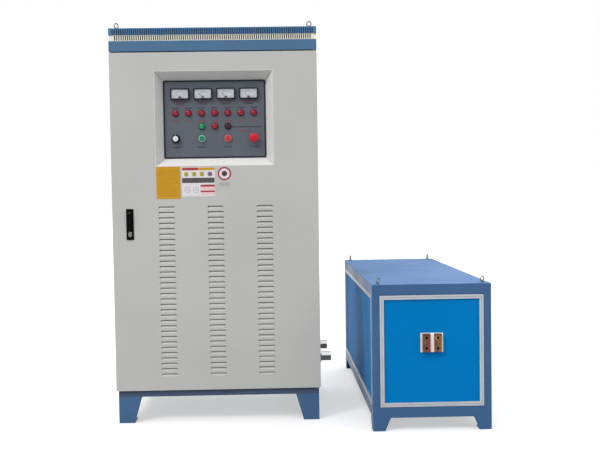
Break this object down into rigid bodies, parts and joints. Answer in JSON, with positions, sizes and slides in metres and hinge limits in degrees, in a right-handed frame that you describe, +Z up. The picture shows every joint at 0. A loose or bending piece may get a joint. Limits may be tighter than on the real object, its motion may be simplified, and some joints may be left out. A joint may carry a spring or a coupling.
{
  "type": "induction heating machine",
  "caption": "Floor-standing induction heating machine: a tall power cabinet with a recessed control panel in its hinged door, and a low output unit with copper coil terminals.",
  "frame": {"origin": "on the floor, under the middle of the pair's bounding box", "axes": "+X to the right as seen from the front, +Y from the front to the rear, +Z up"},
  "size_m": [1.606, 1.307, 1.7563],
  "materials": {
    "light_grey_paint": "satin powder coat",
    "grille_paint": "satin powder coat",
    "band_blue_paint": "satin powder coat",
    "frame_blue_paint": "satin powder coat",
    "bright_blue_paint": "satin powder coat",
    "plate_grey_paint": "matt screen-printed panel",
    "galvanised_steel": "galvanised",
    "zinc_steel": "zinc plated",
    "bright_steel": "polished",
    "trim_aluminium": "anodised",
    "cooling_aluminium": "milled",
    "terminal_copper": "worn copper",
    "black_plastic": "moulded",
    "dark_plastic": "moulded",
    "gasket_rubber": "foam",
    "dial_white": "printed dial",
    "meter_glass": "clear",
    "needle_red": "painted",
    "red_lens": "moulded",
    "green_lens": "moulded",
    "collar_plastic": "moulded",
    "green_plastic": "moulded",
    "red_plastic": "moulded",
    "pale_plastic": "moulded",
    "yellow_plate": "bonded plate",
    "insulator_white": "glass-fibre laminate",
    "board_green": "solder mask",
    "core_grey": "varnished laminations"
  },
  "bodies": {
    "cabinet": {"cabinet_base": "frame_blue_paint", "floor_trays": "galvanised_steel", "cabinet_frame": "light_grey_paint", "cabinet_panels": "light_grey_paint", "top_band": "band_blue_paint", "vent_grille": "grille_paint", "roof_cap": "band_blue_paint", "lifting_eyes": "zinc_steel", "hinge_brackets": "zinc_steel", "mounting_plate": "galvanised_steel", "main_breaker": "dark_plastic", "main_contactor": "pale_plastic", "cold_plate": "cooling_aluminium", "power_modules": "dark_plastic", "capacitor_cans": "cooling_aluminium", "dc_reactor": "core_grey", "control_board": "board_green", "water_pipes": "zinc_steel", "cable_glands": "dark_plastic", "fan_frame": "dark_plastic", "box_frame": "frame_blue_paint", "box_roof": "frame_blue_paint", "box_panels": "bright_blue_paint", "box_trims": "trim_aluminium", "terminal_insulator": "insulator_white", "output_terminals": "terminal_copper", "transformer_core": "core_grey", "transformer_winding": "terminal_copper", "resonance_capacitors": "pale_plastic", "busbars": "terminal_copper"},
    "start_button": {"start_button": "green_plastic"},
    "stop_button": {"stop_button": "red_plastic"},
    "emergency_stop_stem": {"emergency_stop_stem": "pale_plastic"},
    "emergency_stop_head": {"emergency_stop_head": "red_plastic"},
    "power_knob": {"power_knob": "black_plastic"},
    "lock_rotor": {"lock_rotor": "zinc_steel"},
    "lock_handle": {"lock_handle": "black_plastic"},
    "lock_button": {"lock_button": "bright_steel"},
    "breaker_toggle": {"breaker_toggle": "black_plastic"},
    "fan_rotor": {"fan_rotor": "black_plastic"},
    "meter_needle_1": {"meter_needle_1": "needle_red"},
    "meter_needle_2": {"meter_needle_2": "needle_red"},
    "meter_needle_3": {"meter_needle_3": "needle_red"},
    "meter_needle_4": {"meter_needle_4": "needle_red"},
    "door": {"door_skin": "light_grey_paint", "door_stiffeners": "light_grey_paint", "door_gasket": "gasket_rubber", "recess_surround": "light_grey_paint", "control_plate": "plate_grey_paint", "meter_cases": "black_plastic", "meter_dials": "dial_white", "meter_windows": "meter_glass", "lamp_bodies": "black_plastic", "red_lamp_lenses": "red_lens", "green_lamp_lens": "green_lens", "push_button_collars": "collar_plastic", "emergency_stop_body": "black_plastic", "power_potentiometer": "dark_plastic", "lock_plate": "black_plastic", "blank_plates": "yellow_plate"}
  },
  "joints": [
    {"name": "door_swing", "type": "hinge", "parent": "cabinet", "child": "door", "pos_m": [0.087, -0.4435, 0.8835], "axis": [0, 0, 1], "range_deg": [0, 120]},
    {"name": "start_press", "type": "slide", "parent": "door", "child": "start_button", "axis": [0, 1, 0], "range_m": [0, 0.004], "stiffness_N_per_m": 400},
    {"name": "stop_press", "type": "slide", "parent": "door", "child": "stop_button", "axis": [0, 1, 0], "range_m": [0, 0.004], "stiffness_N_per_m": 400},
    {"name": "emergency_stop_press", "type": "slide", "parent": "door", "child": "emergency_stop_stem", "axis": [0, 1, 0], "range_m": [0, 0.005], "stiffness_N_per_m": 600},
    {"name": "emergency_stop_twist", "type": "hinge", "parent": "emergency_stop_stem", "child": "emergency_stop_head", "pos_m": [-0.1808, -0.4235, 1.25], "axis": [0, 1, 0], "range_deg": [0, 45], "stiffness_Nm_per_rad": 0.05},
    {"name": "power_knob_turn", "type": "hinge", "parent": "door", "child": "power_knob", "pos_m": [-0.5252, -0.4135, 1.25], "axis": [0, 1, 0], "range_deg": [0, 280]},
    {"name": "lock_turn", "type": "hinge", "parent": "door", "child": "lock_rotor", "pos_m": [-0.727, -0.4515, 0.922], "axis": [0, -1, 0], "range_deg": [0, 90]},
    {"name": "lock_handle_tilt", "type": "hinge", "parent": "lock_rotor", "child": "lock_handle", "pos_m": [-0.727, -0.4594, 0.927], "axis": [-1, 0, 0], "range_deg": [0, 25]},
    {"name": "lock_button_press", "type": "slide", "parent": "door", "child": "lock_button", "axis": [0, 1, 0], "range_m": [0, 0.004], "stiffness_N_per_m": 300},
    {"name": "breaker_toggle_throw", "type": "hinge", "parent": "cabinet", "child": "breaker_toggle", "pos_m": [-0.643, 0.0235, 1.083], "axis": [-1, 0, 0], "range_deg": [0, 50]},
    {"name": "fan_spin", "type": "hinge", "parent": "cabinet", "child": "fan_rotor", "pos_m": [-0.353, 0.1235, 1.447], "axis": [0, 1, 0], "continuous": true},
    {"name": "meter_needle_1_swing", "type": "hinge", "parent": "door", "child": "meter_needle_1", "pos_m": [-0.5039, -0.4085, 1.431], "axis": [0, 1, 0], "range_deg": [0, 90], "stiffness_Nm_per_rad": 0.0001},
    {"name": "meter_needle_2_swing", "type": "hinge", "parent": "door", "child": "meter_needle_2", "pos_m": [-0.4033, -0.4085, 1.431], "axis": [0, 1, 0], "range_deg": [0, 90], "stiffness_Nm_per_rad": 0.0001},
    {"name": "meter_needle_3_swing", "type": "hinge", "parent": "door", "child": "meter_needle_3", "pos_m": [-0.3027, -0.4085, 1.431], "axis": [0, 1, 0], "range_deg": [0, 90], "stiffness_Nm_per_rad": 0.0001},
    {"name": "meter_needle_4_swing", "type": "hinge", "parent": "door", "child": "meter_needle_4", "pos_m": [-0.2021, -0.4085, 1.431], "axis": [0, 1, 0], "range_deg": [0, 90], "stiffness_Nm_per_rad": 0.0001}
  ]
}
